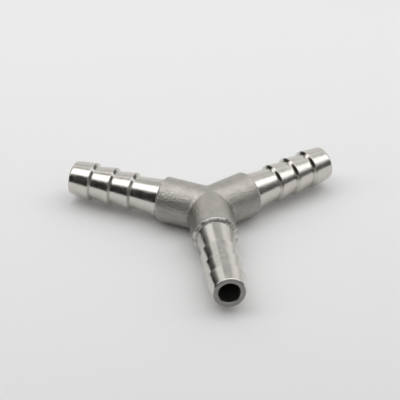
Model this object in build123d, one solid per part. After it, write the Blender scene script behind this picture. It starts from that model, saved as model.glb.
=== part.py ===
from build123d import *
import os

# Three-way hose-barb connector, cast and turned from one piece of stainless steel.
# Three equal legs lie in one plane, 120 degrees apart. Millimetres, +Z up.
# The origin is where the three bore axes meet, and one leg points along -Y.

# Legs
leg_angles = (-90, 30, 150)      # degrees about +Z
leg_reach = 32.0                 # meeting point of the bores to the end face of a leg
bore_diameter = 4.8

# Hub sleeves: the plain round barrels that meet in the middle
sleeve_diameter = 10.0
sleeve_reach = 11.0              # meeting point to the end face of a sleeve
sleeve_chamfer = 0.45            # outer edge of a sleeve's end face
crotch_radius = 1.5              # blend in the crease between two sleeves

# Neck: plain taper from the sleeve down to the last barb
neck_diameter = 8.5              # where the neck runs into the sleeve

# Barbs: tapered rings that grip the hose
barb_count = 3
barb_pitch = 4.75                # crest to crest, and end face to first crest
crest_diameter = 8.5
root_diameter = 7.15
shoulder_length = 0.5            # steep back of a barb, crest down to root

# Tip: the first barb ends in a blunt nose round the bore
tip_diameter = 7.4               # outside of the leg where the nose begins
nose_length = 0.5                # rounded outer edge of the nose, along the leg
nose_depth = 0.4                 # the same edge, towards the axis
mouth_chamfer = 0.2              # broken edge round the bore


def turned(*outline):
    """Solid of revolution about X from lines that close on that axis."""
    return revolve(make_face(outline), axis=Axis.X)


def barb_outline():
    """Points (along the axis, radius) from the neck to the start of the nose."""
    points = [(0, 0), (0, neck_diameter / 2), (sleeve_reach, neck_diameter / 2)]
    for number in range(barb_count, 0, -1):
        crest = leg_reach - barb_pitch * number
        points.append((crest - shoulder_length, root_diameter / 2))
        points.append((crest, crest_diameter / 2))
    points.append((leg_reach - nose_length, tip_diameter / 2))
    return points


def barbed_leg():
    """One solid leg along +X, with its neck, barbs and rounded nose."""
    face_radius = tip_diameter / 2 - nose_depth
    nose = EllipticalCenterArc((leg_reach - nose_length, face_radius), nose_length, nose_depth, arc_size=90)
    end_face = Polyline((leg_reach, face_radius), (leg_reach, 0), (0, 0))
    return turned(Polyline(*barb_outline()), nose, end_face)


def sleeve():
    """One solid barrel of the hub along +X, from the meeting point outwards."""
    barrel = extrude(Plane.YZ * Circle(sleeve_diameter / 2), sleeve_reach)
    end_face = barrel.faces().sort_by(Axis.X)[-1]
    return chamfer(end_face.edges(), sleeve_chamfer)


def bore():
    """The hole of one leg along +X, with a broken edge at its mouth."""
    radius = bore_diameter / 2
    mouth_start = (leg_reach - mouth_chamfer, radius)
    mouth_rim = (leg_reach, radius + mouth_chamfer)
    return turned(Polyline((0, 0), (0, radius), mouth_start, mouth_rim, (leg_reach, 0), close=True))


def around(shape):
    """Copies of a shape that lies along +X, one for each leg."""
    return [Rot(0, 0, angle) * shape for angle in leg_angles]


def fused(shapes):
    """One solid from shapes that meet."""
    whole = shapes[0]
    for shape in shapes[1:]:
        whole = whole + shape
    return whole


def hub():
    """Three sleeves in one. Neighbours cross in half ellipses, and those creases are blended."""
    barrels = fused(around(sleeve()))
    creases = barrels.edges().filter_by(GeomType.ELLIPSE)
    return fillet(creases, crotch_radius)


def connector():
    """The whole fitting: hub and barbed legs, bored from each end to the middle."""
    body = fused([hub()] + around(barbed_leg()))
    for hole in around(bore()):
        body = body - hole
    return body


if __name__ == "__main__":
    os.makedirs("parts", exist_ok=True)
    export_step(connector(), "parts/connector_body.step")
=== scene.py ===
"""Looks of a stainless steel tubing Y connector: fine mesh, finishes, floor, light and camera."""

import math

import bmesh
import bpy
from mathutils import Matrix, Vector


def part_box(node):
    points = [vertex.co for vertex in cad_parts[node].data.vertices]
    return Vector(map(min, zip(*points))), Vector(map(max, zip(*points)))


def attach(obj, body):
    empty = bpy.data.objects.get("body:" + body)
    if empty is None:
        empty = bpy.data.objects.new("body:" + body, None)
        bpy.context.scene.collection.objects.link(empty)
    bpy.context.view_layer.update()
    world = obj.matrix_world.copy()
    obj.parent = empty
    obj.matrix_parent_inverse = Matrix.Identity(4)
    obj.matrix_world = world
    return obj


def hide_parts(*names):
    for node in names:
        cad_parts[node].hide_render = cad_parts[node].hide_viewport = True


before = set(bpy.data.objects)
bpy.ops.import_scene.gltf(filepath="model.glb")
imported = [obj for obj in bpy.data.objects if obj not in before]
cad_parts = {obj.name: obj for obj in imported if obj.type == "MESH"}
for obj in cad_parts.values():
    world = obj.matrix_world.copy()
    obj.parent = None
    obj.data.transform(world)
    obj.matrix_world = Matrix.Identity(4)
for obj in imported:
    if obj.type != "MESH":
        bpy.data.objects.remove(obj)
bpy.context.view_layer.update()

MM = 0.001
NODE = "connector_body"

# The fitting's sizes, in metres. The frame gives its reach, its sleeve radius and where it stands.
low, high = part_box(NODE)
leg_angles = (-90, 30, 150)  # degrees about +Z
half_gap = 60                # degrees from a leg to the crease between it and its neighbour
leg_reach = -low.y
sleeve_radius = high.z
floor_height = low.z
bore_radius = 2.4 * MM
sleeve_reach = 11.0 * MM
sleeve_chamfer = 0.45 * MM
crotch_radius = 1.5 * MM
neck_radius = 4.25 * MM
barb_count = 3
barb_pitch = 4.75 * MM
crest_radius = 4.25 * MM
root_radius = 3.575 * MM
shoulder_length = 0.5 * MM
tip_radius = 3.7 * MM
nose_length = 0.5 * MM
nose_depth = 0.4 * MM
mouth_chamfer = 0.2 * MM

# Fine edges that the solid leaves sharp
edge_radius = 0.07 * MM
sleeve_edge_radius = 0.5 * MM
crest_edge_radius = 0.14 * MM

# Mesh density
columns = 144            # round each leg
blend_rows = 6           # half of a crease's blend
sleeve_rows = 8
nose_rows = 7
bore_rows = 6
corner_rows = 3
support_gap = 0.05 * MM  # rows beside a corner, so that long faces shade flat
weld_distance = 2e-7     # the legs' meshes meet in the same points
creaseless_sine = 1e-6   # a sleeve's top and bottom lines have no crease

# The leg's outline begins on the sleeve and ends in the bore, a little past the edges there.
outline_start = sleeve_reach - 4 * sleeve_chamfer
outline_end = leg_reach - 5 * mouth_chamfer

# Finishes, in the order of the material slots, and where they change along a leg
SATIN, TURNED, SAWN, BORED, BURRED = range(5)
satin_end = sleeve_reach - 1.1 * sleeve_chamfer
burred_end = sleeve_reach + edge_radius
sawn_start = leg_reach - 0.15 * nose_length
noise_range = (0.3, 0.7)     # most of a noise lies in it

# Where the photograph was taken from
camera_azimuth = -8.55       # degrees; 0 looks along +Y
camera_elevation = 33.55
camera_roll = 1.37
camera_distance = 0.853
camera_lens = 351.4          # on a sensor 36 mm wide
camera_sensor = 36.0
camera_clip_start = 0.01
aim_right = -1.96 * MM       # aim point from the origin, at the bores' height
aim_ahead = 3.74 * MM

# Studio places are given from the camera's side: right, ahead, up, in metres.
studio_turn = Matrix.Rotation(math.radians(camera_azimuth), 4, "Z")

# Floor: its grey runs from a near to a far level over a stretch ahead of and behind the origin; the
# darker near end is painted shade.
floor_half_width = 4.0
floor_gradient = (-0.08, 0.08)
floor_levels = (0.82, 0.88)
floor_seen_levels = (0.885, 0.99)    # for the camera and for reflections

# Room: radiance by direction. Each range is of the direction's part along an axis of the studio.
wall_radiance = 0.80
ceiling_radiance = 0.5
room_left_radiance = 0.025
room_right_radiance = 0.10
backdrop_radiance = 0.8          # for the camera alone
wall_to_ceiling = (0.40, 0.72)   # up
room_to_wall = (0.57, 0.90)      # ahead and a little up
room_left_to_right = (-0.7, 0.8)
wall_direction = (0, 1, 0.35)    # the axis of room_to_wall

# Level softboxes: both ends of the middle line and the width, in softbox heights, and radiance
softbox_height = 0.6
softboxes = {
    "left_softbox": ((-2.6, -0.17), (-0.20, 0.15), 0.66, 1.95),
    "middle_softbox": ((-0.20, 0.16), (0.25, 0.25), 0.66, 1.4),
    "right_softbox": ((0.25, 0.31), (4.2, 0.87), 0.54, 1.84),
}

# Panels that face the fitting: direction, size in panel distances, radiance, spin in degrees
panel_distance = 0.8
panels = {
    "left_panel": ((-0.527, 0.585, 0.616), (0.5, 0.3), 0.58, -35),
    "right_panel": ((0.493, 0.678, 0.545), (0.5, 0.35), 0.25, 25),
    "top_fill": ((0.28, -0.52, 0.85), (1.95, 1.1), 0.48, 0),
}

# Black card round the sides and front of the set
skirt_level = 0.03
skirt_radius = 0.08
skirt_height = 0.015
skirt_start, skirt_end = -45, -255      # degrees from straight ahead
skirt_steps = 24


def collection_object(name, data):
    """A new object in the scene's own collection."""
    made = bpy.data.objects.new(name, data)
    bpy.context.scene.collection.objects.link(made)
    return made


def studio(right, ahead, up):
    """A studio place or direction in the fitting's frame."""
    return studio_turn @ Vector((right, ahead, up))


# ---------------------------------------------------------------- fine mesh


def rounded(points):
    """The outline with every corner that has a radius turned into an arc."""
    made = [points[0][:2]]
    for before, corner, after in zip(points, points[1:], points[2:]):
        place, radius = Vector(corner[:2]), corner[2] if len(corner) > 2 else 0
        if not radius:
            made.append(corner[:2])
            continue
        back = (Vector(before[:2]) - place).normalized()
        ahead = (Vector(after[:2]) - place).normalized()
        half_turn = (math.pi - back.angle(ahead)) / 2
        inset = radius * math.tan(half_turn)
        centre = place + (back + ahead).normalized() * (radius / math.cos(half_turn))
        start = place + back * inset - centre
        end = place + ahead * inset - centre
        for step in range(corner_rows + 1):
            made.append(tuple(centre + start.slerp(end, step / corner_rows) * radius))
    made.append(points[-1][:2])
    return made


def supported(points):
    """The outline with an extra point just inside both ends of each long run."""
    made = [points[0]]
    for start, end in zip(points, points[1:]):
        run = Vector(end) - Vector(start)
        if run.length > 4 * support_gap:
            made.append(tuple(Vector(start) + run.normalized() * support_gap))
            made.append(tuple(Vector(end) - run.normalized() * support_gap))
        made.append(end)
    return made


def leg_outline():
    """(along the leg, radius) from the sleeve over its end and the barbs into the bore's mouth."""
    points = [
        (outline_start, sleeve_radius),
        (sleeve_reach - sleeve_chamfer, sleeve_radius, sleeve_edge_radius),
        (sleeve_reach, sleeve_radius - sleeve_chamfer, sleeve_edge_radius),
        (sleeve_reach, neck_radius, edge_radius),
    ]
    for number in range(barb_count, 0, -1):
        crest = leg_reach - barb_pitch * number
        points.append((crest - shoulder_length, root_radius, edge_radius))
        points.append((crest, crest_radius, crest_edge_radius))
    face_radius = tip_radius - nose_depth
    for row in range(nose_rows + 1):
        angle = math.pi / 2 * (1 - row / nose_rows)
        along = leg_reach - nose_length + nose_length * math.cos(angle)
        points.append((along, face_radius + nose_depth * math.sin(angle)))
    points.append((leg_reach, bore_radius + mouth_chamfer, edge_radius))
    points.append((leg_reach - mouth_chamfer, bore_radius, edge_radius))
    points.append((outline_end, bore_radius))
    return supported(rounded(points))


def leg_axes(angle):
    """Directions along a leg and sideways from it."""
    turn = math.radians(angle)
    along = Vector((math.cos(turn), math.sin(turn), 0))
    side = Vector((-math.sin(turn), math.cos(turn), 0))
    return along, side


def crease_distance(radius, around):
    """How far out along its own axis a round bar of some radius meets the neighbouring leg's."""
    return radius * abs(math.sin(around)) / math.tan(math.radians(half_gap))


def crease_blend(angle, around):
    """Points of half a crease's blend at one angle round the leg, from the crease to the sleeve."""
    along, side = leg_axes(angle)
    reach = sleeve_radius + crotch_radius
    outward = side * math.sin(around) + Vector((0, 0, math.cos(around)))
    if abs(math.sin(around)) < creaseless_sine:
        return [outward * sleeve_radius] * (blend_rows + 1)
    centre = outward * reach + along * crease_distance(reach, around)
    facing = half_gap if math.sin(around) > 0 else -half_gap
    _, across = leg_axes(angle + facing)
    middle = (outward - across * outward.dot(across)).normalized()
    return [
        centre - outward.slerp(middle, 1 - row / blend_rows) * crotch_radius
        for row in range(blend_rows + 1)
    ]


def leg_column(angle, around, outline):
    """One line of points along a leg, from the middle of the hub out and back down the bore."""
    along, side = leg_axes(angle)
    outward = side * math.sin(around) + Vector((0, 0, math.cos(around)))
    points = crease_blend(angle, around)
    blend_end = points[-1].dot(along)
    for row in range(1, sleeve_rows):
        station = blend_end + (outline_start - blend_end) * row / sleeve_rows
        points.append(along * station + outward * sleeve_radius)
    points += [along * station + outward * radius for station, radius in outline]
    inner_end = crease_distance(bore_radius, around)
    for row in range(1, bore_rows + 1):
        station = outline_end + (inner_end - outline_end) * row / bore_rows
        points.append(along * station + outward * bore_radius)
    return points


def finish_of_row(row, outline):
    """Which finish the faces have between one point of a column and the next."""
    place = row - blend_rows - sleeve_rows
    if place < 0:
        return SATIN
    if place > len(outline) - 2:
        return BORED
    (start, start_radius), (end, end_radius) = outline[place:place + 2]
    if max(start, end) < satin_end:
        return SATIN
    if max(start, end) < burred_end:
        return BURRED
    if (start_radius + end_radius) / 2 < bore_radius + mouth_chamfer:
        return BORED
    if min(start, end) > sawn_start:
        return SAWN
    return TURNED


def connector_mesh():
    """The whole fitting as one closed mesh of quads."""
    bm = bmesh.new()
    outline = leg_outline()
    for angle in leg_angles:
        lines = []
        for column in range(columns):
            around = 2 * math.pi * column / columns
            lines.append([bm.verts.new(p) for p in leg_column(angle, around, outline)])
        for column, line in enumerate(lines):
            after = lines[(column + 1) % columns]
            for row in range(len(line) - 1):
                face = bm.faces.new((line[row], line[row + 1], after[row + 1], after[row]))
                face.material_index = finish_of_row(row, outline)
                face.smooth = True
    bmesh.ops.remove_doubles(bm, verts=bm.verts, dist=weld_distance)
    bmesh.ops.recalc_face_normals(bm, faces=bm.faces)
    mesh = bpy.data.meshes.new("y_fitting")
    bm.to_mesh(mesh)
    bm.free()
    return mesh


# ---------------------------------------------------------------- nodes


class Nodes:
    """Short calls for the nodes of a material or a world."""

    def __init__(self, tree):
        self.tree = tree

    def node(self, kind, **settings):
        made = self.tree.nodes.new(kind)
        for name, value in settings.items():
            setattr(made, name, value)
        return made

    def feed(self, target, source):
        """Link a node's output to an input, or set the input to a plain value."""
        if isinstance(source, bpy.types.NodeSocket):
            self.tree.links.new(source, target)
        else:
            target.default_value = source

    def maths(self, operation, *sources):
        made = self.node("ShaderNodeMath", operation=operation)
        for target, source in zip(made.inputs, sources):
            self.feed(target, source)
        return made.outputs[0]

    def dot(self, first, second):
        made = self.node("ShaderNodeVectorMath", operation="DOT_PRODUCT")
        self.feed(made.inputs[0], first)
        self.feed(made.inputs[1], second)
        return made.outputs["Value"]

    def scaled(self, vector, factor):
        made = self.node("ShaderNodeVectorMath", operation="SCALE")
        self.feed(made.inputs[0], vector)
        self.feed(made.inputs["Scale"], factor)
        return made.outputs[0]

    def height_part(self, vector):
        made = self.node("ShaderNodeSeparateXYZ")
        self.feed(made.inputs[0], vector)
        return made.outputs["Z"]

    def spread(self, source, source_range, values, interpolation="LINEAR"):
        """One range of numbers spread over another, held at its ends."""
        made = self.node("ShaderNodeMapRange", interpolation_type=interpolation)
        self.feed(made.inputs["Value"], source)
        names = ("From Min", "From Max", "To Min", "To Max")
        for name, value in zip(names, (*source_range, *values)):
            self.feed(made.inputs[name], value)
        return made.outputs[0]

    # The Mix node has inputs A and B once for each kind: 2 and 3 are numbers, 6 and 7 colours.

    def mix_numbers(self, factor, first, second):
        made = self.node("ShaderNodeMix")
        self.feed(made.inputs["Factor"], factor)
        self.feed(made.inputs[2], first)
        self.feed(made.inputs[3], second)
        return made.outputs[0]

    def mix_colours(self, factor, first, second):
        made = self.node("ShaderNodeMix", data_type="RGBA")
        self.feed(made.inputs["Factor"], factor)
        self.feed(made.inputs[6], first)
        self.feed(made.inputs[7], second)
        return made.outputs[2]


def colour(red, green, blue):
    """A colour as a socket takes it."""
    return red, green, blue, 1


def grey(level):
    return colour(level, level, level)


# ---------------------------------------------------------------- finishes


class Finish(Nodes):
    """A material of one Principled shader, with the calls that the fitting's finishes share."""

    def __init__(self, name):
        self.material = bpy.data.materials.new(name)
        self.material.use_nodes = True
        super().__init__(self.material.node_tree)
        self.shader = self.tree.nodes["Principled BSDF"]

    def set(self, **values):
        """Link or set the shader's own inputs, with _ for a space in their names."""
        for name, value in values.items():
            self.feed(self.shader.inputs[name.replace("_", " ")], value)

    def place(self):
        """Position in the fitting's own frame, in millimetres."""
        return self.scaled(self.node("ShaderNodeTexCoord").outputs["Object"], 1 / MM)

    def along_leg(self, place):
        """Distance along the nearest leg: the largest of the three legs' own distances."""
        first, second, third = (self.dot(place, leg_axes(angle)[0]) for angle in leg_angles)
        return self.maths("MAXIMUM", self.maths("MAXIMUM", first, second), third)

    def out_of_axis(self, place):
        """Distance from the axis of the nearest leg."""
        along = self.along_leg(place)
        along_square = self.maths("MULTIPLY", along, along)
        return self.maths("SQRT", self.maths("SUBTRACT", self.dot(place, place), along_square))

    def painted_flank_shade(self, place, flank, height):
        """A factor of painted shade on the sides: lowest halfway up the fitting and one at a height
        above or below.
        """
        level = self.maths("ABSOLUTE", self.height_part(place))
        return self.spread(level, (0, height), (flank, 1))

    def noise(self, source, scale, detail, roughness=0.5, dimensions="3D"):
        """Noise over a place in millimetres, or over a distance if it has one dimension."""
        made = self.node("ShaderNodeTexNoise", noise_dimensions=dimensions)
        self.feed(made.inputs["W" if dimensions == "1D" else "Vector"], source)
        self.feed(made.inputs["Scale"], scale)
        self.feed(made.inputs["Detail"], detail)
        self.feed(made.inputs["Roughness"], roughness)
        return made.outputs[0]

    def rings(self, distance, scale, detail, roughness=0.5):
        """Noise over the distance along an axis or from it, which is rings round that axis."""
        return self.noise(distance, scale, detail, roughness, dimensions="1D")

    def between(self, noise, low_value, high_value):
        """The range that most of a noise lies in, spread over a range of plain numbers."""
        return self.spread(noise, noise_range, (low_value, high_value))

    def tone(self, noise, dark, light):
        """A colour that wanders between two with a noise."""
        return self.mix_colours(self.between(noise, 0, 1), colour(*dark), colour(*light))

    def bump(self, height, depth, under=None):
        """A normal tilted by a height, whose range is so many metres deep, over another normal."""
        made = self.node("ShaderNodeBump")
        self.feed(made.inputs["Height"], height)
        self.feed(made.inputs["Distance"], depth)
        self.feed(made.inputs["Strength"], 1.0)
        if under is not None:
            self.feed(made.inputs["Normal"], under)
        return made.outputs[0]


def satin_cast_steel():
    """Blasted casting: a fine grain, faint cloudy patches in tone and gloss, and painted shade that
    darkens its sides halfway up.
    """
    finish = Finish("satin_cast_steel")
    place = finish.place()
    clouds = finish.noise(place, scale=0.55, detail=3)
    grain = finish.noise(place, scale=2.4, detail=3, roughness=0.6)
    waves = finish.noise(place, scale=0.9, detail=1)
    tone = finish.tone(clouds, dark=(0.445, 0.426, 0.392), light=(0.525, 0.504, 0.465))
    finish.set(
        # The base colour carries painted shade: darker halfway up the sides.
        Base_Color=finish.scaled(tone, finish.painted_flank_shade(place, flank=0.74, height=3.4)),
        Roughness=finish.between(clouds, 0.38, 0.31),
        Normal=finish.bump(grain, depth=0.16 * MM, under=finish.bump(waves, depth=0.012 * MM)),
        Metallic=1.0,
    )
    return finish.material


def turned_steel():
    """Bright turned steel: fine rings round each leg, left by the tool, and faint smudges."""
    finish = Finish("turned_steel")
    place = finish.place()
    rings = finish.rings(finish.along_leg(place), scale=9.0, detail=3, roughness=0.7)
    smudges = finish.noise(place, scale=0.8, detail=3)
    finish.set(
        Base_Color=finish.tone(smudges, dark=(0.62, 0.597, 0.556), light=(0.68, 0.655, 0.612)),
        Roughness=finish.between(smudges, 0.15, 0.24),
        Normal=finish.bump(rings, depth=0.006 * MM),
        Metallic=1.0,
    )
    return finish.material


def burred_steel():
    """The sleeves' ends, where the turning tool stopped: a ragged edge, dull to bright."""
    finish = Finish("burred_steel")
    burrs = finish.noise(finish.place(), scale=0.95, detail=3, roughness=0.65)
    finish.set(
        Base_Color=finish.tone(burrs, dark=(0.20, 0.19, 0.18), light=(0.92, 0.89, 0.84)),
        Roughness=0.33,
        Normal=finish.bump(burrs, depth=0.30 * MM),
        Metallic=1.0,
    )
    return finish.material


def sawn_steel():
    """The flat ends of the legs: duller, with the coarse rings of a parting tool."""
    finish = Finish("sawn_steel")
    rings = finish.rings(finish.out_of_axis(finish.place()), scale=5.0, detail=2, roughness=0.7)
    finish.set(
        Base_Color=finish.tone(rings, dark=(0.28, 0.271, 0.26), light=(0.38, 0.368, 0.352)),
        Roughness=0.5,
        Normal=finish.bump(rings, depth=0.010 * MM),
        Metallic=1.0,
    )
    return finish.material


def bored_steel():
    """Duller drilled steel inside the bores, with the drill's rings."""
    finish = Finish("bored_steel")
    rings = finish.rings(finish.along_leg(finish.place()), scale=3.0, detail=3)
    finish.set(
        Base_Color=finish.tone(rings, dark=(0.40, 0.39, 0.38), light=(0.55, 0.54, 0.53)),
        Roughness=0.42,
        Normal=finish.bump(rings, depth=0.02 * MM),
        Metallic=1.0,
    )
    return finish.material


def make_connector():
    """The fine mesh, standing in for the plain solid."""
    fitting = collection_object("y_fitting", connector_mesh())
    finishes = {
        SATIN: satin_cast_steel,
        TURNED: turned_steel,
        SAWN: sawn_steel,
        BORED: bored_steel,
        BURRED: burred_steel,
    }
    for number in sorted(finishes):
        fitting.data.materials.append(finishes[number]())
    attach(fitting, "root")
    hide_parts(NODE)


# ---------------------------------------------------------------- studio


def make_floor():
    """A pale floor with painted shade that makes it a little darker towards the camera. The camera
    and metal see it brighter.
    """
    finish = Finish("pale_floor")
    place = finish.node("ShaderNodeTexCoord").outputs["Object"]
    # Painted shade: the floor's grey darkens towards the camera.
    distance = finish.spread(finish.dot(place, studio(0, 1, 0)), floor_gradient, (0, 1))
    rays = finish.node("ShaderNodeLightPath").outputs
    seen = finish.maths("MAXIMUM", rays["Is Camera Ray"], rays["Is Glossy Ray"])
    finish.set(
        Base_Color=finish.mix_colours(
            seen,
            finish.mix_colours(distance, *(grey(level) for level in floor_levels)),
            finish.mix_colours(distance, *(grey(level) for level in floor_seen_levels)),
        ),
        Roughness=0.9,
        Specular_IOR_Level=0.0,
    )
    half = floor_half_width
    corners = [(-half, -half, 0), (half, -half, 0), (half, half, 0), (-half, half, 0)]
    mesh = bpy.data.meshes.new("floor")
    mesh.from_pydata(corners, [], [(0, 1, 2, 3)])
    mesh.materials.append(finish.material)
    floor = collection_object("floor", mesh)
    floor.location.z = floor_height


def dark_skirt():
    """A low black card round the sides and front of the set. Only reflections see it."""
    finish = Finish("black_card")
    finish.set(Base_Color=grey(skirt_level), Roughness=1.0, Specular_IOR_Level=0.0)
    rim = []
    for step in range(skirt_steps + 1):
        angle = math.radians(skirt_start + (skirt_end - skirt_start) * step / skirt_steps)
        rim.append((skirt_radius * math.sin(angle), skirt_radius * math.cos(angle)))
    low_row = [studio(right, ahead, floor_height) for right, ahead in rim]
    high_row = [studio(right, ahead, floor_height + skirt_height) for right, ahead in rim]
    count = len(rim)
    faces = [(i, i + 1, i + 1 + count, i + count) for i in range(count - 1)]
    mesh = bpy.data.meshes.new("dark_skirt")
    mesh.from_pydata(low_row + high_row, [], faces)
    mesh.materials.append(finish.material)
    card = collection_object("dark_skirt", mesh)
    card.visible_camera = False
    card.visible_shadow = False
    card.visible_diffuse = False


def area_lamp(name, width, depth, radiance):
    """A rectangular lamp of even radiance. The camera doesn't see it."""
    lamp = bpy.data.lights.new(name, "AREA")
    lamp.shape = "RECTANGLE"
    lamp.size, lamp.size_y = width, depth
    lamp.energy = radiance * math.pi * lamp.size * lamp.size_y
    made = collection_object(name, lamp)
    made.visible_camera = False
    return made


def make_softbox(name, start, end, width, radiance):
    """A level softbox whose middle line runs from one place (right, ahead) to another."""
    first, last = (
        studio(right * softbox_height, ahead * softbox_height, softbox_height)
        for right, ahead in (start, end)
    )
    line = last - first
    made = area_lamp(name, line.length, width * softbox_height, radiance)
    made.location = (first + last) / 2
    made.rotation_euler.z = math.atan2(line.y, line.x)


def make_panel(name, direction, size, radiance, spin):
    """A panel seen from the fitting along (right, ahead, up), facing back at it."""
    made = area_lamp(name, size[0] * panel_distance, size[1] * panel_distance, radiance)
    towards = studio(*direction).normalized()
    made.location = towards * panel_distance
    made.rotation_mode = "QUATERNION"
    turned = Matrix.Rotation(math.radians(spin), 3, "Z").to_quaternion()
    made.rotation_quaternion = (-towards).to_track_quat("-Z", "Y") @ turned


def make_world():
    """A pale wall behind, greyer overhead, and a dark room on the camera's side."""
    world = bpy.data.worlds.new("studio")
    bpy.context.scene.world = world
    world.use_nodes = True
    nodes = Nodes(world.node_tree)
    direction = nodes.node("ShaderNodeTexCoord").outputs["Generated"]
    ahead = nodes.dot(direction, studio(*wall_direction))
    right = nodes.dot(direction, studio(1, 0, 0))
    up = nodes.height_part(direction)
    wall = nodes.spread(up, wall_to_ceiling, (wall_radiance, ceiling_radiance))
    room = nodes.spread(right, room_left_to_right, (room_left_radiance, room_right_radiance))
    share = nodes.spread(ahead, room_to_wall, (0, 1), interpolation="SMOOTHSTEP")
    rays = nodes.node("ShaderNodeLightPath").outputs
    lit = nodes.mix_numbers(share, room, wall)
    shown = nodes.mix_numbers(rays["Is Camera Ray"], lit, backdrop_radiance)
    nodes.feed(nodes.tree.nodes["Background"].inputs["Color"], shown)


def make_studio():
    make_floor()
    make_world()
    dark_skirt()
    for name, settings in softboxes.items():
        make_softbox(name, *settings)
    for name, settings in panels.items():
        make_panel(name, *settings)


def make_camera():
    """The photograph's viewpoint."""
    data = bpy.data.cameras.new("camera")
    data.lens = camera_lens
    data.sensor_width = camera_sensor
    data.clip_start = camera_clip_start
    camera = collection_object("camera", data)
    elevation = math.radians(camera_elevation)
    look = studio(0, math.cos(elevation), -math.sin(elevation))
    camera.location = studio(aim_right, aim_ahead, 0) - look * camera_distance
    camera.rotation_mode = "QUATERNION"
    roll = Matrix.Rotation(math.radians(camera_roll), 3, "Z").to_quaternion()
    camera.rotation_quaternion = look.to_track_quat("-Z", "Y") @ roll
    bpy.context.scene.camera = camera


make_connector()
make_studio()
make_camera()
bpy.context.scene.view_settings.view_transform = "Standard"
